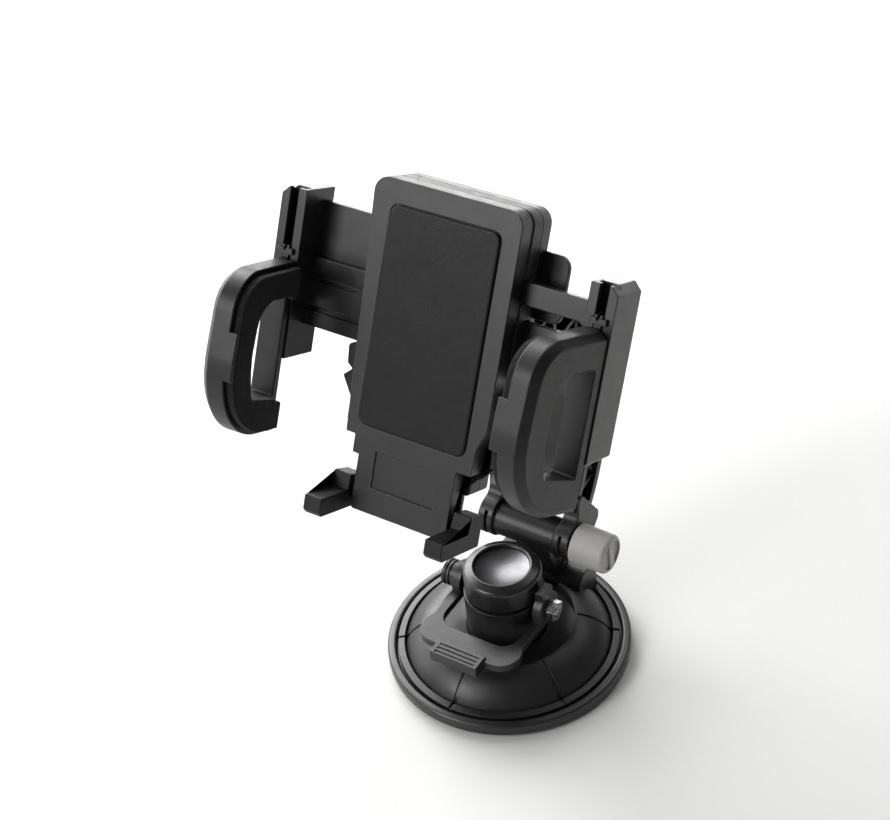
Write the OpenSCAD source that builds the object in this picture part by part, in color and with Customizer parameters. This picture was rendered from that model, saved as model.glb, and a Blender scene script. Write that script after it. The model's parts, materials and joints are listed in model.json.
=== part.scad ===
// Car phone mount: suction base, two-joint arm and a cradle with sliding clamp grips.
// Origin: centre of the suction cup's flat underside. +Z is up, the phone faces -Y.

/* [Suction base] */
// Radius of the rubber cup
cup_r = 45; // [42:1:50]
// Radius where the domed cover starts
dome_r = 38; // [36:0.5:39]
// Radius of the sunken well round the post
well_r = 25.3; // [24:0.1:27]
// Height of the dome at the well's edge
dome_top = 15.2; // [13:0.1:17]
// Wall of the domed cover
cover_wall = 2.2; // [1.8:0.1:3]
// Radius of the post
post_r = 14.7; // [13:0.1:14.8]
// Radius of the cap on the post
cap_r = 14.2; // [12:0.1:14.4]
// Height of the cap's rim
cap_top = 41.7; // [39:0.1:43]

/* [Lever] */
// Height of the lever's bolt
bolt_z = 28; // [26:0.5:30]
// Inner half-width of the lever's fork
fork_in = 15.2; // [15.1:0.1:16]
// Outer half-width of the lever's fork
fork_out = 18.6; // [18:0.1:20]
// Distance from the post's axis to the lever's front edge
lever_reach = 31; // [29:0.5:34]

/* [Arm joints] */
// Lower hinge: distance behind the post
low_y = 30.5; // [30:0.5:33]
// Lower hinge: height
low_z = 13.5; // [13:0.5:16]
// Upper hinge: distance behind the post
up_y = 21.5; // [21.5:0.5:24]
// Upper hinge: height
up_z = 42; // [41:0.5:44]
// Half-width of the upper barrel
barrel_w = 12.2; // [11:0.1:13]
// Radius of the upper barrel
barrel_r = 6.8; // [6:0.1:6.8]
// Radius of the grey knob
knob_r = 7.7; // [7:0.1:9]
// Length of the grey knob
knob_len = 14; // [12:0.5:16]

/* [Swing arm] */
// Radius of the arm's bow
bow_r = 61.7; // [61.5:0.1:62]
// Depth of the beam
beam_d = 14; // [12:0.5:15]
// Half-width of the beam
beam_w = 17.5; // [14:0.5:17.5]

/* [Cradle] */
// Angle that the cradle leans back
lean = 26.8; // [26:0.1:27.5]
// Width of the cradle's body
body_w = 53.4; // [52.6:0.1:54]
// Height of the cradle above the pad's lower edge
body_top = 79.5; // [79:0.5:82]
// Width of the tail
tail_w = 36; // [35:0.5:37]
// Length of the tail below the pad's lower edge
tail_len = 28.4; // [28:0.1:29]
// Width of the foam pad
pad_w = 40; // [36:0.5:41]
// Height of the foam pad
pad_h = 72; // [68:0.5:73]

/* [Clamp arms] */
// Distance from the middle to a column's inner side
col_in = 51.4; // [51.4:0.1:53]
// Width of a column
col_w = 9.5; // [9:0.1:10]
// Depth of a column
col_d = 15.8; // [15:0.1:15.8]
// Height of the left column's lower end
left_low = 12.3; // [11:0.1:14]
// Height of the left column's upper end
left_high = 68.2; // [66:0.1:70]
// Height of the right column's lower end
right_low = 10; // [9:0.1:12]
// Height of the right column's upper end
right_high = 65.6; // [64:0.1:68]

/* [Grips] */
// Height of a grip
grip_h = 57.2; // [56:0.1:58]
// Distance that a grip stands in front of the columns
grip_out = 36.6; // [36:0.1:38]
// Width of the grip's hard shell
grip_w = 8.5; // [8:0.1:9]
// Thickness of the grip's foam pad
grip_pad = 3; // [2.5:0.1:3.5]
// Angle that a grip leans inwards towards its front
grip_toe = 4.9; // [0:0.1:6]
// Lower end of the right grip
grip_right_v = -5.2; // [-7:0.1:-4]
// Lower end of the left grip
grip_left_v = -12.2; // [-13:0.1:-9]

/* [Hidden] */
$fn = 72;

black = [0.07, 0.07, 0.075];
charcoal = [0.11, 0.11, 0.115];
rubber = [0.05, 0.05, 0.05];
foam = [0.035, 0.035, 0.035];
grey = [0.62, 0.62, 0.61];
steel = [0.75, 0.75, 0.77];
brass = [0.78, 0.62, 0.32];

// Running clearance on a radius, and the gap between sliding faces
run = 0.05;
gap = 0.3;
m4_r = 2;
m5_r = 2.5;

// Cradle frame: x to the right, y away from the phone, z up along the plate
cradle_y = -42.8;
cradle_z = 133.5;
body_x = body_w / 2;
tail_x = tail_w / 2;
low_x = 20.4;
wall = 2.2;
// Depths of the cradle's layers, measured back from the front face
front_d = 6.8;
mid_d = 12.4;
rear_d = 18;
floor_y = 15.6;
web_y = [10.2, 11.2];
bar_y = [7, 10];
plate_y = [11.4, 13.9];
swivel_v = 36;
boss_y = 22;
swivel_r = 3;

// Rack and pinion
pinion_v = 44.75;
module_mm = 0.7;
teeth = 12;
pressure = 25;
pitch_r = module_mm * teeth / 2;
tooth_pitch = PI * module_mm;
travel_in = 18;
travel_out = 2;

// Heights of the two flat plates and the two guide bars
left_plate_v = [44.9, 64];
left_bar_v = [30.5, 38.3];
right_plate_v = [25.5, 44.6];
right_bar_v = [50.8, 58];
button_v = [-3, 22.6];

// Circular bow of the swing arm, in the Y-Z plane
bow_y = -17.7;
bow_z = 92.6;
bow_from = -43;
bow_to = 74;

// Shell screws: across, and up the plate
screw_spots = [[-20, 73], [20, 73], [-19, 18.9], [19, 18.9]];
screw_r = 1.25;

// ---------- shared functions and modules ----------

function unit(v) = v / norm(v);

// Points of an arc of radius r that rounds the corner p between a and b
function corner(a, p, b, r, n = 6) =
    let(u = unit(a - p), w = unit(b - p), half = acos(max(-1, min(1, u * w))) / 2)
    let(c = p + unit(u + w) * r / sin(half), s = p + u * r / tan(half) - c, e = p + w * r / tan(half) - c)
    let(from = atan2(s.y, s.x), sweep = atan2(s.x * e.y - s.y * e.x, s * e))
    [for (i = [0:n]) c + r * [cos(from + sweep * i / n), sin(from + sweep * i / n)]];

// Closed outline through corners given as [x, y, radius]
function rounded(pts) =
    [for (i = [0:len(pts) - 1])
        let(p = pts[i], a = pts[(i + len(pts) - 1) % len(pts)], b = pts[(i + 1) % len(pts)])
        each p[2] > 0
            ? corner([a.x, a.y], [p.x, p.y], [b.x, b.y], p[2], p[2] > 12 && p[2] < 30 ? 14 : 6)
            : [[p.x, p.y]]];

// Points of the arc of radius r from p to q that bulges away from the axis
function bulge(p, q, r, n = 10) =
    let(d = q - p, h = sqrt(r * r - (d * d) / 4), c = (p + q) / 2 + unit([-d.y, d.x]) * h)
    let(from = atan2(p.y - c.y, p.x - c.x), to = atan2(q.y - c.y, q.x - c.x))
    [for (i = [0:n]) c + r * [cos(from + (to - from) * i / n), sin(from + (to - from) * i / n)]];

// Outline given as [y, z], extruded along X from x0 to x1
module along_x(x0, x1) {
    translate([x0, 0, 0])
        rotate([90, 0, 90])
            linear_extrude(x1 - x0)
                children();
}

// Outline given as [x, z], extruded along Y from y0 to y1
module along_y(y0, y1) {
    translate([0, y1, 0])
        rotate([90, 0, 0])
            linear_extrude(y1 - y0)
                children();
}

// Round bar along X through the point [y, z]
module rod_x(r, x0, x1, at) {
    translate([x0, at[0], at[1]])
        rotate([0, 90, 0])
            cylinder(r = r, h = x1 - x0);
}

// Round bar along Y through the point [x, z]
module rod_y(r, y0, y1, at) {
    translate([at[0], y1, at[1]])
        rotate([90, 0, 0])
            cylinder(r = r, h = y1 - y0);
}

module hex_x(r, x0, x1, at) {
    translate([x0, at[0], at[1]])
        rotate([0, 90, 0])
            cylinder(r = r, h = x1 - x0, $fn = 6);
}

// Box between two corners
module box(a, b) {
    translate(a)
        cube(b - a);
}

module in_cradle() {
    translate([0, cradle_y, cradle_z])
        rotate([-lean, 0, 0])
            children();
}

// ---------- suction base ----------

dome_line = bulge([dome_r, 5.4], [well_r, dome_top], 20);

module suction_cup() {
    color(rubber)
        rotate_extrude($fn = 96)
            polygon(rounded([[0, 0, 0], [cup_r - 1.6, 0, 0], [cup_r, 1.6, 0], [cup_r, 5.6, 1.2],
                [cup_r - 3.2, 6, 1.2], [cup_r - 3.6, 3.4, 0], [17, 3.4, 0], [17, 2, 0], [0, 2, 0]]));
}

// Steel disc bonded to the middle of the rubber
module cup_plate() {
    color(steel)
        translate([0, 0, 2.02])
            cylinder(r = 11.2, h = 0.8);
}

module dome_solid(drop = 0) {
    rotate_extrude($fn = 96)
        polygon(concat(
            [[0, 3.45], [cup_r - 4, 3.45], [cup_r - 4, 6.0 - drop], [dome_r + 0.5, 6.4 - drop],
            [dome_r + 0.2, 5 - drop]],
            [for (p = dome_line) [p.x, p.y - drop]],
            [[0, dome_top - drop]]));
}

module radial_grooves() {
    for (k = [0:5])
        rotate([0, 0, 30 + 60 * k])
            difference() {
                box([well_r + 0.6, -0.45, 4.2], [cup_r, 0.45, 20]);
                dome_solid(0.6);
            }
}

module base_cover() {
    well_floor = dome_top - 2.6;
    knuckle_x = [[-19.3, -8.5], [8.5, 16.8]];
    color(charcoal)
        difference() {
            union() {
                difference() {
                    dome_solid();
                    // Hollow underside, left solid below the hinge
                    difference() {
                        rotate_extrude($fn = 96)
                            polygon([[0, 3], [dome_r - 1, 3], [dome_r - 3, 4.5], [31, 8.6],
                                [well_r + 1.2, 11.2], [well_r - 1, 10.4], [0, 10.4]]);
                        box([-22, 22.5, 2], [22, 40, 20]);
                    }
                    // Sunken well
                    translate([0, 0, well_floor])
                        cylinder(r = well_r - 0.4, h = 10);
                    radial_grooves();
                }
                // Knuckles of the lower hinge
                for (x = knuckle_x)
                    rod_x(6.3, x[0], x[1], [low_y, low_z]);
                for (x = knuckle_x)
                    box([x[0], low_y - 6.3, 5], [x[1], low_y + 6.3, low_z]);
            }
            // Room for the link's barrel between the knuckles
            rod_x(6.9, -8.45, 8.45, [low_y, low_z]);
            box([-8.45, low_y - 6.9, low_z], [8.45, low_y + 6.9, low_z + 20]);
            rod_x(m4_r + run, -30, 15, [low_y, low_z]);
            rod_x(3.6, -30, -16.4, [low_y, low_z]);
            // Hole for the post
            translate([0, 0, -1])
                cylinder(r = post_r + gap, h = 40);
        }
}

module post() {
    color(charcoal)
        difference() {
            union() {
                translate([0, 0, 5.5])
                    cylinder(r = post_r, h = 24.5);
                translate([0, 0, 30])
                    cylinder(r = cap_r - 1.2, h = 4);
            }
            rod_x(m4_r + run, -30, 30, [0, bolt_z]);
            // Hollow below the bolt
            translate([0, 0, 4])
                cylinder(r = 11.5, h = 17);
        }
}

module post_cap() {
    color(charcoal)
        rotate_extrude($fn = 96)
            polygon(rounded([[0, 34, 0], [cap_r - 1.1, 34, 0], [cap_r - 1.1, 31.2, 0], [cap_r, 31.2, 0.4],
                [cap_r, cap_top - 1.6, 1.8], [10.6, cap_top, 0.8], [10, cap_top - 0.6, 0.2], [10, 38, 0],
                [0, 38, 0]]));
}

// Dished thumb plate set in the cap
module cap_dish() {
    color([0.2, 0.2, 0.21])
        difference() {
            translate([0, 0, 38])
                cylinder(r = 9.9, h = cap_top - 1.3 - 38);
            translate([0, 0, cap_top - 1.5 + 30 - 1.5])
                sphere(r = 30, $fn = 96);
        }
}

// ---------- lever ----------

module lever_plate() {
    translate([0, 0, 22.4])
        linear_extrude(3)
            polygon(rounded([
                [-fork_out, 4, 0.5], [-fork_out, -19, 3], [-20.4, -23, 3], [-18.5, -lever_reach, 7],
                [18.5, -lever_reach, 7], [20.4, -23, 3], [fork_out, -19, 3], [fork_out, 4, 0.5],
                [fork_in, 4, 0.5], [fork_in, -22, 6], [-fork_in, -22, 6], [-fork_in, 4, 0.5]]));
}

module lever() {
    color(charcoal)
        difference() {
            union() {
                lever_plate();
                // Ears round the bolt
                for (x = [-fork_out, fork_in])
                    rod_x(6.4, x, x + fork_out - fork_in, [0, bolt_z]);
                for (x = [-fork_out, fork_in])
                    box([x, -6.4, 23], [x + fork_out - fork_in, 3.6, bolt_z]);
                // Grooved boss on the left, square corner on the right
                rod_x(5, -24.2, -fork_out, [0, bolt_z]);
                box([fork_in, -3.4, bolt_z], [fork_out, 3.4, bolt_z + 9]);
                // Finger tab
                box([-9.6, -lever_reach - 5, 21.8], [9.6, -lever_reach + 2, 26.2]);
            }
            rod_x(m4_r + run, -20, 30, [0, bolt_z]);
            rod_x(3.7, -30, -20, [0, bolt_z]);
            for (x = [-22.8, -21.2])
                difference() {
                    rod_x(5.5, x, x + 0.6, [0, bolt_z]);
                    rod_x(4.5, x - 1, x + 2, [0, bolt_z]);
                }
            // Ribs of the finger tab
            for (k = [0:2])
                box([-8, -lever_reach - 4.2 + 1.8 * k, 25.8], [8, -lever_reach - 3.4 + 1.8 * k, 27]);
        }
}

module lever_bolt() {
    color(steel) {
        rod_x(m4_r, -20.6, 22.8, [0, bolt_z]);
        difference() {
            rod_x(3.5, -23, -20.2, [0, bolt_z]);
            hex_x(1.8, -24, -21.6, [0, bolt_z]);
        }
    }
}

module lever_nut() {
    color(steel)
        difference() {
            hex_x(4.05, fork_out + 0.2, fork_out + 3.6, [0, bolt_z]);
            rod_x(m4_r + 0.02, fork_out - 1, fork_out + 5, [0, bolt_z]);
        }
}

// ---------- link between the two hinges ----------

module link() {
    color(charcoal)
        difference() {
            union() {
                rod_x(6.2, -8.1, 8.1, [low_y, low_z]);
                rod_x(barrel_r, -barrel_w, barrel_w, [up_y, up_z]);
                along_x(-7, 7)
                    polygon([[low_y - 4.6, low_z], [low_y + 4.4, low_z + 2],
                        [up_y + 4.8, up_z - 1], [up_y - 3.4, up_z - 2]]);
            }
            rod_x(m4_r + run, -30, 30, [low_y, low_z]);
            rod_x(m5_r + run, -30, 30, [up_y, up_z]);
        }
}

// Bolt of the lower hinge, screwed into the blind right knuckle
module link_bolt() {
    color(steel) {
        rod_x(m4_r, -16.6, 14.8, [low_y, low_z]);
        difference() {
            rod_x(3.5, -18.8, -16.5, [low_y, low_z]);
            hex_x(1.8, -20, -17.4, [low_y, low_z]);
        }
    }
}

// ---------- swing arm ----------

// Part of the bow between two radii and two angles, across the half-width w
module bow(r0, r1, from, to, w) {
    translate([0, bow_y, bow_z])
        rotate([90, 0, 90])
            rotate([0, 0, from])
                rotate_extrude(angle = to - from, $fn = 180)
                    translate([r0, -w])
                        square([r1 - r0, 2 * w]);
}

// Rib across the beam between two points given as [radius, angle]
module bow_rib(p, q) {
    a = p[0] * [cos(p[1]), sin(p[1])];
    b = q[0] * [cos(q[1]), sin(q[1])];
    side = unit([a.y - b.y, b.x - a.x]) * 0.9;
    translate([0, bow_y, bow_z])
        along_x(-beam_w + 1.5, beam_w - 1.5)
            polygon([a + side, b + side, b - side, a - side]);
}

module ear_outline() {
    polygon(rounded([[up_y - 7.5, up_z - 7.5, 7.4], [up_y + 7.5, up_z - 7.5, 7.4], [37.5, 41.5, 2],
        [38, 44.5, 2], [27.5, 60, 2], [25, 59, 1.5], [23.5, 50.5, 4], [up_y - 7.5, up_z + 7.5, 7]]));
}

module swing_arm() {
    r_in = bow_r - beam_d / 2;
    r_out = bow_r + beam_d / 2;
    flange = 3.1;
    pitch = 16.8;
    steps = [for (k = [0:6]) -38 + pitch * k];
    color(charcoal)
        difference() {
            union() {
                bow(r_in, r_in + flange, bow_from, bow_to, beam_w);
                bow(r_out - flange, r_out, bow_from, bow_to, beam_w);
                bow(r_in, r_out, bow_from, bow_to, 1.6);
                bow(r_in, r_out, bow_from, bow_from + 2.4, beam_w);
                for (k = [0:len(steps) - 2])
                    bow_rib([r_in + 1, steps[k]], [r_out - 1, steps[k] + pitch / 2]);
                for (k = [0:len(steps) - 2])
                    bow_rib([r_out - 1, steps[k] + pitch / 2], [r_in + 1, steps[k + 1]]);
                for (x = [-18.7, 12.7])
                    along_x(x, x + 6)
                        ear_outline();
                in_cradle()
                    rod_y(14.2, boss_y + 1, boss_y + 8.5, [0, swivel_v]);
            }
            rod_x(m5_r + run, -40, 40, [up_y, up_z]);
            hex_x(4.7, -30, -16.2, [up_y, up_z]);
            // Ring grooves round the front of the ears
            for (x = [-15.9, 14.9])
                intersection() {
                    box([x, up_y - 10, up_z - 10], [x + 1, up_y, up_z + 6]);
                    difference() {
                        rod_x(12, x, x + 1, [up_y, up_z]);
                        rod_x(6.6, x - 1, x + 2, [up_y, up_z]);
                    }
                }
            in_cradle()
                rod_y(swivel_r + 0.02, boss_y - 1, boss_y + 7, [0, swivel_v]);
        }
}

module tilt_bolt() {
    color(steel) {
        rod_x(m5_r, -16.6, 29, [up_y, up_z]);
        hex_x(4.5, -18.6, -16.3, [up_y, up_z]);
    }
}

module tilt_washers() {
    color(black)
        for (x = [-barrel_w - 0.45, barrel_w + 0.05])
            difference() {
                rod_x(barrel_r + 0.1, x, x + 0.4, [up_y, up_z]);
                rod_x(m5_r + 0.1, x - 1, x + 1, [up_y, up_z]);
            }
}

module tilt_knob() {
    x0 = 19.1;
    x1 = x0 + knob_len;
    color(grey)
        difference() {
            translate([x0, up_y, up_z])
                rotate([0, 90, 0])
                    rotate_extrude($fn = 96)
                        polygon(rounded([[0, 0, 0], [knob_r, 0, 0.5], [knob_r - 0.4, knob_len, 1.8],
                            [0, knob_len, 0]]));
            rod_x(4.02, x0 - 1, x0 + 8, [up_y, up_z]);
            rod_x(m5_r + 0.4, x0, x0 + 10.5, [up_y, up_z]);
            // Shallow end recess with a bar left standing across it
            difference() {
                rod_x(5.6, x1 - 0.9, x1 + 1, [up_y, up_z]);
                box([x1 - 2, up_y - 1.4, up_z - 6], [x1 + 2, up_y + 1.4, up_z + 6]);
            }
        }
}

module knob_insert() {
    color(brass)
        difference() {
            rod_x(4, 19.3, 27, [up_y, up_z]);
            rod_x(m5_r + run, 18, 30, [up_y, up_z]);
        }
}

module swivel_screw() {
    color(steel)
        in_cradle() {
            rod_y(4.2, 14.2, floor_y - 0.05, [0, swivel_v]);
            rod_y(swivel_r, floor_y - 0.2, boss_y + 6.8, [0, swivel_v]);
        }
}

module swivel_washer() {
    color(black)
        in_cradle()
            difference() {
                rod_y(9, boss_y + 0.05, boss_y + 0.95, [0, swivel_v]);
                rod_y(swivel_r + 0.1, boss_y - 1, boss_y + 2, [0, swivel_v]);
            }
}

// ---------- cradle body ----------

module plate_outline() {
    polygon(rounded([
        [-body_x - 0.5, body_top, 5], [-23.9, -3.8, 0.6], [-20.4, -3.8, 0.4], [-20.4, -10, 0.6],
        [-tail_x, -10, 0.4], [-tail_x, -tail_len, 1], [tail_x, -tail_len, 1], [tail_x, -5, 0.4],
        [23.4, -5, 0.6], [23.6, 4, 1.5], [body_x - 0.4, 10.5, 2], [body_x - 0.4, body_top, 5]]));
}

module back_outline(inset = 0) {
    polygon(rounded([
        [-body_x + inset, body_top - inset, 5 - inset], [-body_x + inset, -5 + inset, 2],
        [-low_x + inset, -5 + inset, 0], [-low_x + inset, -14 + inset, 1.5], [low_x - inset, -14 + inset, 1.5],
        [low_x - inset, -5 + inset, 0], [body_x - inset, -5 + inset, 2],
        [body_x - inset, body_top - inset, 5 - inset]]));
}

// Slots in the side walls: left plate and bar, then right bar and plate
module side_slots() {
    far = 30;
    near = 22;
    box([-far, plate_y[0] - gap, left_plate_v[0] - gap], [-near, plate_y[1] + gap, left_plate_v[1] + gap]);
    box([-far, bar_y[0] - gap, 22.9], [-near, bar_y[1] + 0.2, 46.3]);
    box([near, bar_y[0] - gap, right_bar_v[0] - gap], [far, bar_y[1] + 0.2, right_bar_v[1] + gap]);
    box([near, plate_y[0] - gap, right_plate_v[0] - gap], [far, plate_y[1] + gap, right_plate_v[1] + gap]);
}

module screw_holes(r = screw_r + run) {
    for (s = screw_spots)
        rod_y(r, -50, 50, s);
}

module front_shell() {
    color(charcoal)
        in_cradle()
            difference() {
                union() {
                    along_y(0, wall)
                        plate_outline();
                    difference() {
                        along_y(1, front_d)
                            plate_outline();
                        along_y(wall, front_d + 1)
                            offset_plate();
                    }
                    for (s = screw_spots)
                        rod_y(2.8, 1, front_d - 0.1, s);
                }
                // Recess for the foam pad and the sunken panel of the tail
                along_y(-1, 0.5)
                    polygon(rounded([[-pad_w / 2, 0, 3], [pad_w / 2, 0, 3], [pad_w / 2, pad_h, 3],
                        [-pad_w / 2, pad_h, 3]]));
                box([-11.7, -1, -19.6], [11.7, 0.6, -7.5]);
                // Windows for the feet's rails
                box([-40, 2.5, -26.1], [-tail_x + 3, 6.5, -22]);
                box([tail_x - 3, 2.5, -26.1], [40, 6.5, -22]);
                for (s = screw_spots)
                    rod_y(screw_r + run, 2.6, 20, s);
            }
}

// Inside of the front shell: the outline drawn one wall smaller
module offset_plate() {
    polygon(rounded([
        [-body_x - 0.5 + wall, body_top - wall, 3], [-23.9 + wall, -3.8 + wall, 1],
        [-20.4 + wall, -3.8 + wall, 0.4], [-20.4 + wall, -10 + wall, 0.4], [-tail_x + wall, -10 + wall, 0.2],
        [-tail_x + wall, -tail_len + wall, 0.5], [tail_x - wall, -tail_len + wall, 0.5],
        [tail_x - wall, -5 + wall, 0.4], [23.4 - wall, -5 + wall, 0.6], [23.6 - wall, 4, 1.5],
        [body_x - 0.4 - wall, 11.5, 2], [body_x - 0.4 - wall, body_top - wall, 3]]));
}

module mid_frame() {
    color(black)
        in_cradle()
            difference() {
                union() {
                    difference() {
                        along_y(front_d, mid_d)
                            back_outline();
                        along_y(front_d - 1, mid_d + 1)
                            back_outline(wall);
                        side_slots();
                        // Open sides for the release buttons
                        box([-40, 0, button_v[0] - 0.3], [-22, 20, button_v[1] + 0.2]);
                        box([22, 0, button_v[0] - 0.3], [40, 20, button_v[1] + 0.2]);
                    }
                    // Web between the guide bars and the rack plates
                    difference() {
                        along_y(web_y[0], web_y[1])
                            back_outline(1);
                        box([-30, 8, button_v[0] - 0.3], [-22, 13, button_v[1] + 0.2]);
                        box([22, 8, button_v[0] - 0.3], [30, 13, button_v[1] + 0.2]);
                    }
                    // Back plate of the tail
                    box([-tail_x, front_d, -tail_len + 0.5], [tail_x, front_d + 1.8, -4]);
                    for (s = screw_spots)
                        rod_y(2.8, front_d, mid_d, s);
                }
                screw_holes();
                rod_y(1.3, 0, 20, [0, pinion_v]);
            }
}

// Flat wings that stand out behind the columns
module wing(x_side, low, high) {
    x0 = x_side > 0 ? body_x - 1 : -36;
    x1 = x_side > 0 ? 36 : -body_x + 1;
    out = x_side > 0 ? x1 : x0;
    near = x_side > 0 ? x0 : x1;
    along_y(16.2, rear_d)
        polygon(rounded([[near, low, 0], [out, low, 3], [out, high, 4], [near, high, 0]]));
}

module rear_shell() {
    color(charcoal)
        in_cradle()
            difference() {
                union() {
                    difference() {
                        along_y(mid_d, rear_d)
                            back_outline();
                        along_y(mid_d - 1, floor_y)
                            back_outline(wall);
                        side_slots();
                    }
                    wing(1, 45, 66.5);
                    wing(-1, 23, 44.5);
                    rod_y(13, rear_d - 0.5, boss_y, [0, swivel_v]);
                    for (s = screw_spots)
                        rod_y(2.8, mid_d, rear_d - 1, s);
                }
                screw_holes();
                for (s = screw_spots)
                    rod_y(2.4, 16.6, 20, s);
                rod_y(swivel_r + run, 10, 30, [0, swivel_v]);
                rod_y(1.22, 14, 17, [0, pinion_v]);
            }
}

module shell_screws() {
    color(steel)
        in_cradle()
            for (s = screw_spots)
                difference() {
                    union() {
                        rod_y(screw_r, 3, 17, s);
                        rod_y(2.3, 16.65, 17.8, s);
                    }
                    translate([s.x, 18.2, s.y])
                        for (a = [0, 90])
                            rotate([0, a, 0])
                                cube([2.6, 1.8, 0.5], center = true);
                }
}

module face_pad() {
    color(foam)
        in_cradle()
            along_y(-0.7, 0.5)
                polygon(rounded([[-pad_w / 2 + 0.2, 0.2, 3], [pad_w / 2 - 0.2, 0.2, 3],
                    [pad_w / 2 - 0.2, pad_h - 0.2, 3], [-pad_w / 2 + 0.2, pad_h - 0.2, 3]]));
}

// ---------- rack and pinion ----------

// One rack tooth pointing down from its root line, centred on x
module rack_tooth(x, root, tip) {
    mid = (root + tip) / 2;
    half = tooth_pitch / 4 - 0.08;
    slope = tan(pressure);
    polygon([[x - half - (root - mid) * slope, root], [x + half + (root - mid) * slope, root],
        [x + half + (tip - mid) * slope, tip], [x - half - (tip - mid) * slope, tip]]);
}

// Flat plate of the left clamp arm with its rack
module arm_slides() {
    pitch_v = pinion_v + pitch_r;
    root = pitch_v + 0.9 * module_mm;
    tip = pitch_v - 0.9 * module_mm;
    inner = 5;
    along_y(plate_y[0], plate_y[1])
        polygon([[-col_in - 1, left_plate_v[0]], [-24, left_plate_v[0]], [-24, root], [inner, root],
            [inner, left_plate_v[1]], [-col_in - 1, left_plate_v[1]]]);
    along_y(plate_y[0], plate_y[1])
        for (k = [-10:1])
            rack_tooth(tooth_pitch * (k + 0.5), root + 0.01, tip);
}

// Column with its T-shaped slot, on the left side
module column(low, high) {
    x0 = -col_in - col_w;
    mid = -col_in - col_w / 2;
    difference() {
        along_y(0, col_d)
            polygon([[x0, low + 1], [x0 + 1, low], [-col_in, low], [-col_in, high], [x0 + 2.6, high],
                [x0, high - 2.6]]);
        box([mid - 1.6, -1, low - 1], [mid + 1.6, 2, high + 1]);
        box([mid - 3.1, 1.8, low - 1], [mid + 3.1, 4.6, high + 1]);
    }
}

module left_arm() {
    color(charcoal)
        in_cradle() {
            column(left_low, left_high);
            arm_slides();
            // Lower guide bar with its stepped ribs
            box([-col_in - 1, bar_y[0], left_bar_v[0]], [-8, bar_y[1], left_bar_v[1]]);
            box([-col_in - 1, bar_y[0] + 1, left_bar_v[1] - 1], [-28, bar_y[1], 40]);
            box([-col_in - 1, bar_y[0] + 1, 23.3], [-28, bar_y[1], 28.4]);
            box([-col_in - 1, bar_y[1] - 1.2, 28], [-28, bar_y[1], 46]);
            // Rib that joins the bar and the plate beside the column
            box([-col_in - 1, bar_y[1] - 1, 38], [-col_in + 2.5, plate_y[1], 45.5]);
        }
}

module right_arm() {
    color(charcoal)
        in_cradle() {
            mirror([1, 0, 0])
                column(right_low, right_high);
            // Its plate is the left one turned half round the pinion
            translate([0, 0, 2 * pinion_v])
                rotate([0, 180, 0])
                    arm_slides();
            box([8, bar_y[0], right_bar_v[0]], [col_in + 1, bar_y[1], right_bar_v[1]]);
        }
}

// Point of an involute tooth flank where the radius is r
function flank(r, side) =
    let(base = pitch_r * cos(pressure), a = r > base ? acos(base / r) : 0)
    let(inv = tan(a) * 180 / PI - a, inv_pitch = tan(pressure) * 180 / PI - pressure)
    let(half = 90 / teeth - 1.1 - inv + inv_pitch)
    r * [cos(side * half), sin(side * half)];

function turned(p, a) = [p.x * cos(a) - p.y * sin(a), p.x * sin(a) + p.y * cos(a)];

module pinion() {
    root = pitch_r - 0.95 * module_mm;
    tip = pitch_r + 0.85 * module_mm;
    color(grey)
        in_cradle()
            difference() {
                along_y(plate_y[0] + 0.05, plate_y[1] - 0.05)
                    translate([0, pinion_v])
                        polygon([for (k = [0:teeth - 1]) each [
                            turned(flank(root, -1), 360 * k / teeth),
                            turned(flank(pitch_r * 0.97, -1), 360 * k / teeth),
                            turned(flank(pitch_r * 1.04, -1), 360 * k / teeth),
                            turned(flank(tip, -1), 360 * k / teeth),
                            turned(flank(tip, 1), 360 * k / teeth),
                            turned(flank(pitch_r * 1.04, 1), 360 * k / teeth),
                            turned(flank(pitch_r * 0.97, 1), 360 * k / teeth),
                            turned(flank(root, 1), 360 * k / teeth)]]);
                rod_y(1.2 + run, 5, 20, [0, pinion_v]);
            }
}

module pinion_pin() {
    color(steel)
        in_cradle()
            rod_y(1.2, 10.4, 16.9, [0, pinion_v]);
}

// ---------- grips ----------

// Side outline of a grip, drawn smaller by e on its free edges, as [y, z] above its lower end
function grip_edge(e) = rounded([
    [0.4, e, 0], [-grip_out + 0.6 + e, e + 2.4, 27 - e], [-grip_out - 0.1 + e, 30, 40],
    [-grip_out + 1.9 + e, grip_h - e, 13 - e], [0.4, grip_h - e, 0]]);

finger_hole = rounded([[-4, 12, 0.8], [-22, 15.2, 2.5], [-25.2, 29, 30], [-23, 47.2, 8.5], [-4, 46.6, 1.5]]);

// Left grip's frame: leaning inwards, cut off just in front of the column
module grip_frame() {
    out = col_in + col_w - 0.5;
    difference() {
        translate([-out, 0, 0])
            rotate([0, 0, grip_toe])
                children();
        box([-80, -gap, -10], [-40, 10, 80]);
    }
}

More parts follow.
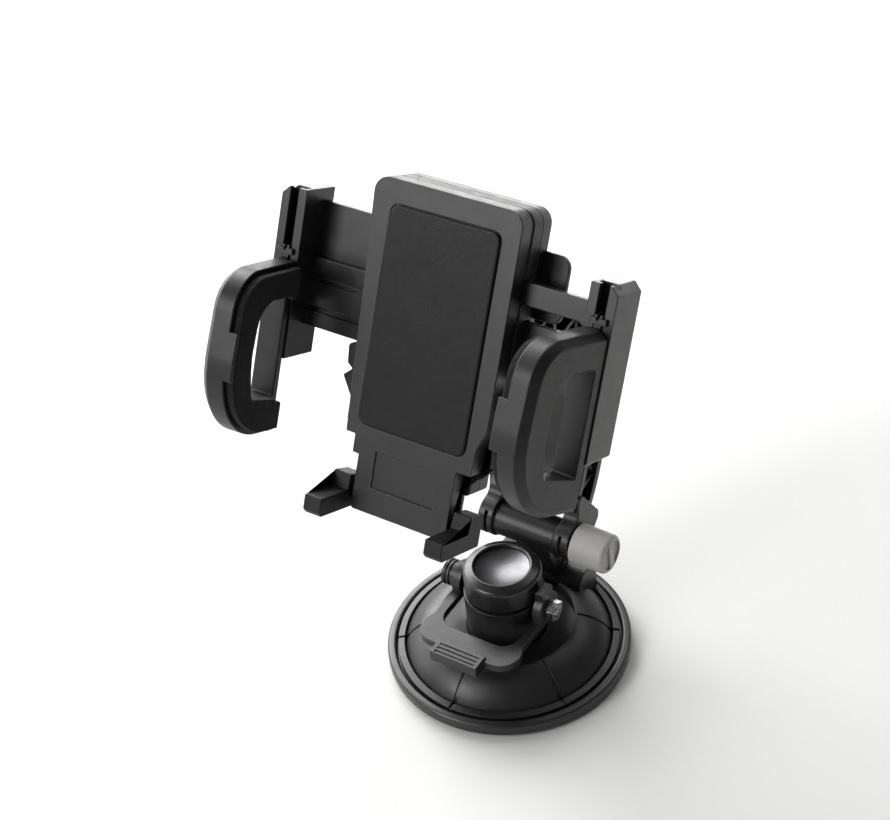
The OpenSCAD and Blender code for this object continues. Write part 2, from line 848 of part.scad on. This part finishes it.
// Hard shell of the left grip; its lower end is at height v
module grip_shell(v, low) {
    mid = -col_in - col_w / 2;
    translate([0, 0, v]) {
        grip_frame()
            difference() {
                union() {
                    hull() {
                        along_x(2.4, grip_w)
                            polygon(grip_edge(0));
                        along_x(0, grip_w - 2)
                            polygon(grip_edge(2.2));
                    }
                    // Tab that laps over the pad's front edge
                    intersection() {
                        along_x(grip_w - 1, grip_w + grip_pad)
                            difference() {
                                polygon(grip_edge(0));
                                polygon(grip_edge(1.4));
                            }
                        box([0, -60, 23.5], [20, -20, 39.5]);
                    }
                }
                along_x(-5, 20)
                    polygon(finger_hole);
            }
        // Rail that runs in the column's slot
        box([mid - 1.3, -1, low - v], [mid + 1.3, 2.2, grip_h + 0.3]);
        box([mid - 2.8, 2.1, low - v], [mid + 2.8, 4.3, grip_h + 0.3]);
    }
}

// Foam pad of the left grip, a C that follows the outline
module grip_foam(v) {
    translate([0, 0, v])
        grip_frame()
            difference() {
                along_x(grip_w, grip_w + grip_pad)
                    polygon(grip_edge(1.5));
                along_x(-5, 20)
                    polygon(finger_hole);
                box([0, -6.5, 11], [20, 2, grip_h - 12]);
                box([0, -2.8, -2], [20, 2, 30]);
            }
}

// Detent clip at the upper end of the rail
module grip_latch(v) {
    mid = -col_in - col_w / 2;
    translate([0, 0, v + grip_h + 1.4])
        difference() {
            union() {
                box([mid - 1.3, -0.6, -1], [mid + 1.3, 2.2, 3]);
                box([mid - 2.8, 2.1, -1], [mid + 2.8, 4.3, 3]);
                box([mid - 3, -1.3, 0.2], [mid + 3, -0.3, 2.2]);
            }
            box([mid - 0.4, -2, 1.4], [mid + 0.4, 5, 4]);
        }
}

module left_grip() {
    color(charcoal)
        in_cradle()
            grip_shell(grip_left_v, left_low + 0.5);
}

module left_grip_pad() {
    color(foam)
        in_cradle()
            grip_foam(grip_left_v);
}

module left_grip_clip() {
    color(black)
        in_cradle()
            grip_latch(grip_left_v);
}

module right_grip() {
    color(charcoal)
        in_cradle()
            mirror([1, 0, 0])
                grip_shell(grip_right_v, right_low + 9);
}

module right_grip_pad() {
    color(foam)
        in_cradle()
            mirror([1, 0, 0])
                grip_foam(grip_right_v);
}

module right_grip_clip() {
    color(black)
        in_cradle()
            mirror([1, 0, 0])
                grip_latch(grip_right_v);
}

// ---------- release buttons and feet ----------

// Release button of the left side, pressed inwards
module button() {
    along_y(bar_y[0] + 0.1, mid_d - 0.3)
        polygon(rounded([[-25.4, button_v[1], 0], [-32.2, button_v[1], 1.5], [-31.6, 15.6, 1],
            [-29.4, 14.2, 0.5], [-32.6, 11.4, 0.6], [-28.6, 5, 1.5], [-28.6, button_v[0], 1],
            [-25.4, button_v[0], 0]]));
    box([-26, bar_y[0] + 0.1, 3], [-14, bar_y[1] - 0.1, 13]);
}

module left_button() {
    color(charcoal)
        in_cradle()
            button();
}

module right_button() {
    color(charcoal)
        in_cradle()
            mirror([1, 0, 0])
                button();
}

// Left foot: an L-shaped ledge with a rail that runs inside the tail
module foot() {
    along_x(-26, -19.5)
        polygon(rounded([[8, -29.2, 0.5], [-14, -29.2, 0], [-15.4, -27.8, 0], [-15.4, -22.9, 0.4],
            [-0.4, -22.9, 0.6], [0.2, -17.6, 0.4], [8, -18.6, 0.6]]));
    box([-20, 2.8, -25.8], [-2.6, 6.2, -22.3]);
}

module left_foot() {
    color(charcoal)
        in_cradle()
            foot();
}

module right_foot() {
    color(charcoal)
        in_cradle()
            mirror([1, 0, 0])
                foot();
}

suction_cup();
cup_plate();
base_cover();
post();
post_cap();
cap_dish();
lever();
lever_bolt();
lever_nut();
link();
link_bolt();
swing_arm();
tilt_bolt();
tilt_washers();
tilt_knob();
knob_insert();
swivel_screw();
swivel_washer();
rear_shell();
mid_frame();
front_shell();
shell_screws();
face_pad();
left_arm();
right_arm();
pinion();
pinion_pin();
left_grip();
left_grip_pad();
left_grip_clip();
right_grip();
right_grip_pad();
right_grip_clip();
left_button();
right_button();
left_foot();
right_foot();
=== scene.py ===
"""Car phone mount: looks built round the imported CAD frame. Lengths are in metres, or in
millimetres where they are multiplied by MM, and angles are in degrees."""
import json
import math

import bmesh
import bpy
from mathutils import Matrix, Vector, noise


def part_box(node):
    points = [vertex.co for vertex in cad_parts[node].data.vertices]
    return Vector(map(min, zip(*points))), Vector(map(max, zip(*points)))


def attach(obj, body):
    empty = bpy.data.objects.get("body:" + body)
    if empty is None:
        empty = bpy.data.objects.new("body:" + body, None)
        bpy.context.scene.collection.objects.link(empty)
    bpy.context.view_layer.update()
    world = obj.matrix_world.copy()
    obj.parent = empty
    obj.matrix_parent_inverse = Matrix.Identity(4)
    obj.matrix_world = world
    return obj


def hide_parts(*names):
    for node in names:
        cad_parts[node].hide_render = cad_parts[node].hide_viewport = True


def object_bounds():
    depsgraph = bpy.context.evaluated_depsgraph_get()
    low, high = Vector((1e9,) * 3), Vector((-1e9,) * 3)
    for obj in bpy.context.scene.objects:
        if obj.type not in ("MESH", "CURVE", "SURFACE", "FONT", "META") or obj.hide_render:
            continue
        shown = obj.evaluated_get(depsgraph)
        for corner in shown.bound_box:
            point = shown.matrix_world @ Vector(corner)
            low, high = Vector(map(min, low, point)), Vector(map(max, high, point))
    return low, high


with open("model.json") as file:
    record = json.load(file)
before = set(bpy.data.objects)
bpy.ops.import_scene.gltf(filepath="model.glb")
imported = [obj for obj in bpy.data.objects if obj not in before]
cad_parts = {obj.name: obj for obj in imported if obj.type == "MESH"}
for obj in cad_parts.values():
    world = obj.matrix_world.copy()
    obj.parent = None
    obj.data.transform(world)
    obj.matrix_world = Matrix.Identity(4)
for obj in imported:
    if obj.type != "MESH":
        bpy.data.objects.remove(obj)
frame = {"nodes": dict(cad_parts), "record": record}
cad_low, cad_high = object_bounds()
centre = (cad_low + cad_high) / 2
MM = 0.001
joints = {joint["name"]: joint for joint in frame["record"]["behaviour"]["joints"]}
CRADLE_UP = Vector(joints["left_grip_slide"]["axis"])

# ---------------------------------------------------------------- camera
CAMERA_FROM_ORIGIN = Vector((0.288305, -0.409596, 0.529769))
CAMERA_AXES = (
    Vector((0.8414, 0.5327, -0.0915)),
    Vector((-0.2828, 0.5783, 0.7653)),
    Vector((0.4605, -0.6180, 0.6372)),
)
camera_data = bpy.data.cameras.new("camera")
camera_data.lens = 78.905
camera_data.sensor_width = 36
camera_data.clip_start = 0.05
camera_data.clip_end = 20
camera = bpy.data.objects.new("camera", camera_data)
bpy.context.scene.collection.objects.link(camera)
turn = Matrix(CAMERA_AXES).transposed().to_quaternion().to_matrix().to_4x4()
camera.matrix_world = Matrix.Translation(CAMERA_FROM_ORIGIN) @ turn
bpy.context.scene.camera = camera
bpy.context.scene.view_settings.view_transform = "Standard"


# ---------------------------------------------------------------- materials
NOISE_LOW, NOISE_HIGH = 0.3, 0.7  # most of a noise node's values lie between these


class Graph:
    """A material's node graph, with short calls for the nodes used here."""

    def __init__(self, name):
        self.material = bpy.data.materials.new(name)
        self.material.use_nodes = True
        self.nodes = self.material.node_tree.nodes
        self.links = self.material.node_tree.links
        self.shader = self.nodes["Principled BSDF"]
        self.place = self.nodes.new("ShaderNodeTexCoord").outputs["Object"]

    def join(self, source, target):
        """Links one node's output to another's input."""
        self.links.new(source, target)

    def stretched(self, scale):
        """Object coordinates multiplied by scale along each axis."""
        mapping = self.nodes.new("ShaderNodeMapping")
        mapping.inputs["Scale"].default_value = scale
        self.join(self.place, mapping.inputs["Vector"])
        return mapping.outputs["Vector"]

    def noise(self, scale, detail=3.0, rough=0.55):
        """Noise with features about 1 / scale metres across."""
        node = self.nodes.new("ShaderNodeTexNoise")
        node.inputs["Scale"].default_value = scale
        node.inputs["Detail"].default_value = detail
        node.inputs["Roughness"].default_value = rough
        self.join(self.place, node.inputs["Vector"])
        return node.outputs["Fac"]

    def cells(self, scale):
        """Distance to the nearest of scattered points, as in a skin of closed cells."""
        node = self.nodes.new("ShaderNodeTexVoronoi")
        node.inputs["Scale"].default_value = scale
        self.join(self.place, node.inputs["Vector"])
        return node.outputs["Distance"]

    def ramp(self, value, stops):
        """Colours at positions from 0 to 1."""
        node = self.nodes.new("ShaderNodeValToRGB")
        bar = node.color_ramp
        while len(bar.elements) < len(stops):
            bar.elements.new(0.5)
        for element, (position, colour) in zip(bar.elements, stops):
            element.position = position
            element.color = (*colour, 1.0)
        self.join(value, node.inputs["Fac"])
        return node.outputs["Color"]

    def span(self, value, low, high, start=NOISE_LOW, end=NOISE_HIGH):
        """The value's stretch from start to end, spread from low to high and held there."""
        node = self.nodes.new("ShaderNodeMapRange")
        node.inputs["From Min"].default_value = start
        node.inputs["From Max"].default_value = end
        node.inputs["To Min"].default_value = low
        node.inputs["To Max"].default_value = high
        self.join(value, node.inputs["Value"])
        return node.outputs["Result"]

    def bump(self, height, distance, strength=1.0, under=None):
        """A relief distance metres high, laid over another relief where one is given."""
        node = self.nodes.new("ShaderNodeBump")
        node.inputs["Distance"].default_value = distance
        node.inputs["Strength"].default_value = strength
        self.join(height, node.inputs["Height"])
        if under is not None:
            self.join(under, node.inputs["Normal"])
        return node.outputs["Normal"]

    def set(self, **values):
        """Sets the shader's sockets, with _ for the spaces in their names."""
        for name, value in values.items():
            self.shader.inputs[name.replace("_", " ")].default_value = value

    def finish(self, colour, rough, normal):
        """Joins the three outputs to the shader and gives back the material."""
        self.join(colour, self.shader.inputs["Base Color"])
        self.join(rough, self.shader.inputs["Roughness"])
        self.join(normal, self.shader.inputs["Normal"])
        return self.material


def shade(level, warm=0.0):
    """A near-neutral colour of that linear level."""
    return (level * (1 + warm), level, level * (1 - warm))


def plastic(name, dark, light, rough, grain=2600, depth=0.012, warm=0.01, shine=0.5):
    """Moulded plastic: spark-eroded grain, slow colour drift and faint handling marks."""
    g = Graph(name)
    drift = g.noise(scale=55, detail=4, rough=0.6)
    stops = [(NOISE_LOW, shade(dark, warm)), (NOISE_HIGH, shade(light, warm))]
    colour = g.ramp(drift, stops)
    marks = g.noise(scale=240, detail=5, rough=0.65)
    roughness = g.span(marks, rough[0], rough[1])
    fine = g.bump(g.noise(grain, detail=2, rough=0.6), depth * MM)
    waves = g.noise(scale=170, detail=3, rough=0.5)
    normal = g.bump(waves, 0.035 * MM, strength=0.6, under=fine)
    g.set(Specular_IOR_Level=shine, IOR=1.5)
    return g.finish(colour, roughness, normal)


def edge_wear_and_highlight(name, level, rough, warm=0.01):
    """The polished line that handling leaves along moulded edges, in a paler colour that is partly
    real wear and partly a painted highlight on the rounded edges.
    """
    g = Graph(name)
    patches = g.noise(scale=420, detail=5, rough=0.7)
    # Paler than the plastic it rims: a painted highlight along the rounded edges, on top of real
    # wear
    stops = [(0.35, shade(level * 0.6, warm)), (0.68, shade(level * 1.25, warm))]
    colour = g.ramp(patches, stops)
    roughness = g.span(patches, rough + 0.08, rough)
    normal = g.bump(g.noise(scale=1800, detail=2), 0.006 * MM)
    return g.finish(colour, roughness, normal)


def rubber(name):
    """Soft vinyl: smooth, with patches of a faint pale bloom."""
    g = Graph(name)
    bloom = g.noise(scale=38, detail=5, rough=0.62)
    stops = [(NOISE_LOW, shade(0.006)), (0.55, shade(0.010)), (0.75, (0.016, 0.017, 0.018))]
    colour = g.ramp(bloom, stops)
    roughness = g.span(g.noise(scale=130, detail=4), 0.30, 0.44)
    fine = g.bump(g.noise(scale=1500, detail=3), 0.010 * MM)
    waves = g.noise(scale=60, detail=3)
    normal = g.bump(waves, 0.10 * MM, strength=0.5, under=fine)
    g.set(Specular_IOR_Level=0.55, Coat_Weight=0.08, Coat_Roughness=0.35)
    return g.finish(colour, roughness, normal)


def foam(name, dark, light, cell, depth, sheen, rough, shine):
    """Closed-cell foam: pitted skin with a soft sheen, cell being the number of cells per metre."""
    g = Graph(name)
    blotch = g.noise(scale=90, detail=5, rough=0.65)
    colour = g.ramp(blotch, [(0.28, shade(dark)), (0.72, shade(light))])
    roughness = g.span(g.noise(scale=700, detail=3), rough[0], rough[1])
    pits = g.bump(g.cells(cell), depth * MM, strength=0.9)
    dents = g.noise(scale=420, detail=4)
    normal = g.bump(dents, depth * 1.6 * MM, strength=0.55, under=pits)
    g.set(Specular_IOR_Level=shine, Sheen_Weight=sheen, Sheen_Roughness=0.6)
    return g.finish(colour, roughness, normal)


def metal(name, colour_a, colour_b, rough, depth=0.006):
    """Plated or machined metal with a fine grain."""
    g = Graph(name)
    tint = g.noise(scale=160, detail=4)
    colour = g.ramp(tint, [(NOISE_LOW, colour_a), (NOISE_HIGH, colour_b)])
    grain = g.noise(scale=900, detail=4, rough=0.6)
    roughness = g.span(grain, rough[0], rough[1])
    normal = g.bump(grain, depth * MM)
    g.set(Metallic=1.0)
    return g.finish(colour, roughness, normal)


SHELL = plastic("shell_plastic", dark=0.007, light=0.011, rough=(0.36, 0.46))
# The edge materials carry real wear plus a painted highlight: their colour is paler than the plastic
# beside them
SHELL_EDGE = edge_wear_and_highlight("shell_edge", level=0.016, rough=0.30)
FRAME = plastic("frame_plastic", dark=0.006, light=0.009, rough=(0.42, 0.52))
FRAME_EDGE = edge_wear_and_highlight("frame_edge", level=0.012, rough=0.36)
ARM = plastic("arm_plastic", dark=0.008, light=0.012, rough=(0.28, 0.38), grain=3200, depth=0.008)
ARM_EDGE = edge_wear_and_highlight("arm_edge", level=0.018, rough=0.28)
GRIP = plastic("grip_plastic", dark=0.006, light=0.010, rough=(0.38, 0.48), shine=0.38)
GRIP_EDGE = edge_wear_and_highlight("grip_edge", level=0.015, rough=0.32)
FOOT = plastic("foot_plastic", dark=0.008, light=0.012, rough=(0.46, 0.56), grain=2200, shine=0.25)
FOOT_EDGE = edge_wear_and_highlight("foot_edge", level=0.016, rough=0.42)
CAP = plastic("cap_plastic", dark=0.010, light=0.015, rough=(0.26, 0.34), grain=3400, depth=0.006)
RUBBER = rubber("cup_rubber")
PAD_FOAM = foam(
    "pad_foam",
    dark=0.005,
    light=0.009,
    cell=1700,
    depth=0.018,
    sheen=0.03,
    rough=(0.38, 0.50),
    shine=0.19,
)
GRIP_FOAM = foam(
    "grip_foam_skin",
    dark=0.004,
    light=0.007,
    cell=1500,
    depth=0.06,
    sheen=0.02,
    rough=(0.80, 0.97),
    shine=0.3,
)
KNOB = plastic(
    "knob_plastic", dark=0.36, light=0.42, rough=(0.42, 0.52), grain=2800, depth=0.010, warm=0.02
)
KNOB_EDGE = edge_wear_and_highlight("knob_edge", level=0.55, rough=0.40, warm=0.02)
STEEL = metal("steel", (0.50, 0.50, 0.52), (0.66, 0.66, 0.68), rough=(0.16, 0.30))
DISH = metal("dish_metal", (0.10, 0.10, 0.105), (0.13, 0.13, 0.135), rough=(0.27, 0.33), depth=0.002)
BRASS = metal("brass", (0.55, 0.40, 0.16), (0.68, 0.52, 0.24), rough=(0.22, 0.34))
GEAR = plastic("gear_plastic", dark=0.48, light=0.55, rough=(0.40, 0.50))


# ---------------------------------------------------------------- pieces from the CAD frame
WELD_GAP = 2e-6  # vertices nearer to each other than this are one
FLAT_ANGLE = 0.6  # faces that turn less than this are parts of one flat face
SHARP_ANGLE = 38  # edges steeper than this stay sharp in the shading
NO_ROUNDING = 180  # no edge is steeper, so a turned part keeps its own edges
BEVEL_PROFILE = 0.6  # a little fuller than a round arc, which is 0.5
FOAM_WAVES = 160  # waves of a foam's skin per metre


def body_of(node):
    """The body that a node moves with."""
    for body, members in frame["record"]["behaviour"]["bodies"].items():
        if node in members:
            return body
    raise KeyError(node)


def welded(node):
    """The node's mesh with its seams welded and its flat faces whole."""
    bm = bmesh.new()
    bm.from_mesh(frame["nodes"][node].data)
    bmesh.ops.remove_doubles(bm, verts=bm.verts, dist=WELD_GAP)
    limit = math.radians(FLAT_ANGLE)
    bmesh.ops.dissolve_limit(bm, angle_limit=limit, verts=bm.verts, edges=bm.edges)
    return bm


def add_piece(name, mesh, node, materials):
    """Links a mesh as a piece that stands for a node, riding on the node's body."""
    mesh.materials.clear()
    for material in materials:
        mesh.materials.append(material)
    piece = bpy.data.objects.new(name, mesh)
    bpy.context.scene.collection.objects.link(piece)
    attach(piece, body_of(node))
    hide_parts(node)
    return piece


def smooth_by_angle(mesh, degrees):
    """Smooth shading with sharp edges above that angle."""
    limit = math.radians(degrees)
    bm = bmesh.new()
    bm.from_mesh(mesh)
    for face in bm.faces:
        face.smooth = True
    for edge in bm.edges:
        edge.smooth = len(edge.link_faces) == 2 and edge.calc_face_angle(0) < limit
    bm.to_mesh(mesh)
    bm.free()


def moulded(node, materials, width=0.35, angle=32, segments=3):
    """A copy of a CAD node whose outer edges are rounded off where they turn by more than angle.

    The rounding is in the last material.
    """
    bm = welded(node)
    limit = math.radians(angle)
    edges = [
        e
        for e in bm.edges
        if len(e.link_faces) == 2 and e.is_convex and e.calc_face_angle(0) > limit
    ]
    if edges:
        bmesh.ops.bevel(
            bm,
            geom=edges,
            offset=width * MM,
            offset_type="OFFSET",
            segments=segments,
            profile=BEVEL_PROFILE,
            affect="EDGES",
            clamp_overlap=False,
            miter_outer="ARC",
            material=len(materials) - 1,
        )
    mesh = bpy.data.meshes.new(node + "_mesh")
    bm.to_mesh(mesh)
    bm.free()
    smooth_by_angle(mesh, SHARP_ANGLE)
    piece = add_piece(node + "_part", mesh, node, materials)
    weigh = piece.modifiers.new("weighted", "WEIGHTED_NORMAL")
    weigh.keep_sharp = True
    return piece


def flat_axes(node):
    """Axes at a node's middle, with Z along the normal of its largest face."""
    bm = welded(node)
    normal = max(bm.faces, key=lambda f: f.calc_area()).normal.copy()
    bm.free()
    low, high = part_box(node)
    faces_sideways = abs(normal.x) > 0.8
    side = CRADLE_UP if faces_sideways else Vector((1, 0, 0))
    side = (side - normal * side.dot(normal)).normalized()
    up = normal.cross(side)
    axes = Matrix((side, up, normal)).transposed().to_4x4()
    return Matrix.Translation((low + high) / 2) @ axes


def soft(node, materials, voxel, rounds, wave, seed):
    """A foam piece in its CAD solid's space: rounded all over, with a slightly uneven skin.

    voxel and wave are in millimetres; rounds of smoothing do the rounding.
    """
    axes = flat_axes(node)
    bm = welded(node)
    bmesh.ops.transform(bm, matrix=axes.inverted(), verts=bm.verts)
    mesh = bpy.data.meshes.new(node + "_mesh")
    bm.to_mesh(mesh)
    bm.free()
    low = [min(v.co[k] for v in mesh.vertices) for k in range(3)]
    high = [max(v.co[k] for v in mesh.vertices) for k in range(3)]
    maker = bpy.data.objects.new(node + "_maker", mesh)
    bpy.context.scene.collection.objects.link(maker)
    remesh = maker.modifiers.new("voxels", "REMESH")
    remesh.mode = "VOXEL"
    remesh.voxel_size = voxel * MM
    relax = maker.modifiers.new("relax", "SMOOTH")
    relax.factor = 0.5
    relax.iterations = rounds
    graph = bpy.context.evaluated_depsgraph_get()
    made = bpy.data.meshes.new_from_object(maker.evaluated_get(graph))
    bpy.data.objects.remove(maker)
    shift = Vector((seed, 0, 0))
    moved = []
    for co, normal in [(v.co.copy(), v.normal.copy()) for v in made.vertices]:
        at = co + normal * (wave * MM * noise.noise(co * FOAM_WAVES + shift))
        moved.extend(min(max(at[k], low[k]), high[k]) for k in range(3))
    made.vertices.foreach_set("co", moved)
    made.transform(axes)
    made.name = node + "_skin"
    for face in made.polygons:
        face.use_smooth = True
    piece = add_piece(node + "_foam", made, node, materials)
    return piece


# Suction base and post
moulded("suction_cup", [RUBBER], width=0.5, angle=35)
moulded("base_cover", [SHELL, SHELL_EDGE], width=0.25)
moulded("post", [SHELL, SHELL_EDGE], width=0.3)
moulded("post_cap", [CAP], angle=NO_ROUNDING)
moulded("cap_dish", [DISH], angle=NO_ROUNDING)
moulded("lever", [SHELL, SHELL_EDGE], width=0.22)
for metal_node in ("lever_bolt", "lever_nut", "link_bolt", "tilt_bolt", "shell_screws"):
    moulded(metal_node, [STEEL], width=0.15, segments=2)

# Arm
moulded("link", [SHELL, SHELL_EDGE], width=0.35)
moulded("swing_arm", [SHELL, SHELL_EDGE], width=0.4)
moulded("tilt_knob", [KNOB, KNOB_EDGE], width=0.25)

# Cradle
moulded("rear_shell", [SHELL, SHELL_EDGE], width=0.4)
moulded("mid_frame", [FRAME, FRAME_EDGE], width=0.3)
moulded("front_shell", [SHELL, SHELL_EDGE], width=0.3)
moulded("left_arm", [ARM, ARM_EDGE], width=0.28)
moulded("right_arm", [ARM, ARM_EDGE], width=0.28)
moulded("left_grip", [GRIP, GRIP_EDGE], width=0.45)
moulded("right_grip", [GRIP, GRIP_EDGE], width=0.45)
moulded("left_button", [FRAME, FRAME_EDGE], width=0.3)
moulded("right_button", [FRAME, FRAME_EDGE], width=0.3)
moulded("left_foot", [FOOT, FOOT_EDGE], width=0.45)
moulded("right_foot", [FOOT, FOOT_EDGE], width=0.45)
moulded("left_grip_clip", [FRAME, FRAME_EDGE], width=0.15)
moulded("right_grip_clip", [FRAME, FRAME_EDGE], width=0.15)

# Foam
soft("face_pad", [PAD_FOAM], voxel=0.36, rounds=4, wave=0.05, seed=3)
soft("left_grip_pad", [GRIP_FOAM], voxel=0.42, rounds=6, wave=0.10, seed=11)
soft("right_grip_pad", [GRIP_FOAM], voxel=0.42, rounds=6, wave=0.10, seed=23)

# Small and inner parts keep their CAD shape
KEPT = {
    "cup_plate": STEEL,
    "tilt_washers": FRAME,
    "knob_insert": BRASS,
    "swivel_screw": STEEL,
    "swivel_washer": FRAME,
    "pinion": GEAR,
    "pinion_pin": STEEL,
}
for kept_node, kept_material in KEPT.items():
    for kept_slot in frame["nodes"][kept_node].material_slots:
        kept_slot.material = kept_material

# ---------------------------------------------------------------- stage and light
FLOOR_SIDE = 12
GLOW = 0.80
GLOW_START, GLOW_FULL = 0.8, 1.9  # distances from the middle of the floor
GLOW_REACH = 2.0  # where the gradient that the glow is taken from runs out
WORLD_LIGHT = 0.14

floor_graph = Graph("floor_paper")
# Further out the paper glows, so that it stays pale right up to the horizon
gradient = floor_graph.nodes.new("ShaderNodeTexGradient")
gradient.gradient_type = "SPHERICAL"
reach = floor_graph.stretched((1 / GLOW_REACH, 1 / GLOW_REACH, 1 / GLOW_REACH))
floor_graph.join(reach, gradient.inputs["Vector"])
glow = floor_graph.span(
    gradient.outputs["Fac"],
    GLOW,
    0.0,
    start=1 - GLOW_FULL / GLOW_REACH,
    end=1 - GLOW_START / GLOW_REACH,
)
floor_graph.join(glow, floor_graph.shader.inputs["Emission Strength"])
floor_graph.set(Emission_Color=(1.0, 1.0, 1.0, 1.0))
paper_stops = [(NOISE_LOW, (0.60, 0.60, 0.59)), (NOISE_HIGH, (0.64, 0.64, 0.63))]
FLOOR = floor_graph.finish(
    floor_graph.ramp(floor_graph.noise(scale=3, detail=2), paper_stops),
    floor_graph.span(floor_graph.noise(scale=40, detail=3), 0.7, 0.8),
    floor_graph.bump(floor_graph.noise(scale=900, detail=3), 0.02 * MM),
)
bpy.ops.mesh.primitive_grid_add(
    x_subdivisions=8, y_subdivisions=8, size=FLOOR_SIDE, location=(0, 0, cad_low.z)
)
floor = bpy.context.object
floor.name = "floor"
floor.data.materials.append(FLOOR)

world = bpy.data.worlds.new("studio")
world.use_nodes = True
background = world.node_tree.nodes["Background"]
background.inputs["Color"].default_value = (1.0, 1.0, 1.0, 1.0)
background.inputs["Strength"].default_value = WORLD_LIGHT
bpy.context.scene.world = world


def softbox(name, place, size, power, target=centre, shine=True):
    """A square area light aimed at the target; without shine it gives no highlights."""
    data = bpy.data.lights.new(name, "AREA")
    data.shape = "SQUARE"
    data.size = size
    data.energy = power
    light = bpy.data.objects.new(name, data)
    bpy.context.scene.collection.objects.link(light)
    light.location = place
    light.rotation_mode = "QUATERNION"
    light.rotation_quaternion = (Vector(place) - target).to_track_quat("Z", "Y")
    light.visible_glossy = shine
    return light


softbox("back_box", (-1.04, 0.64, 0.78), size=1.1, power=36)
softbox("front_box", (-0.52, -1.02, 0.80), size=0.62, power=11)
softbox("left_box", (-1.22, -0.22, 0.50), size=0.9, power=8)
softbox("rear_top_box", (0.10, 0.85, 1.05), size=0.8, power=4)

# This one lights the floor behind the object, from straight above it
WASH_PLACE = Vector((-0.40, 1.05, 1.1))
WASH_SPREAD = 74
wash_spot = Vector((WASH_PLACE.x, WASH_PLACE.y, cad_low.z))
floor_wash = softbox("floor_wash", WASH_PLACE, size=0.5, power=36, target=wash_spot, shine=False)
floor_wash.data.spread = math.radians(WASH_SPREAD)

softbox("top_fill", (-0.20, 0.20, 1.50), size=1.2, power=4, shine=False)
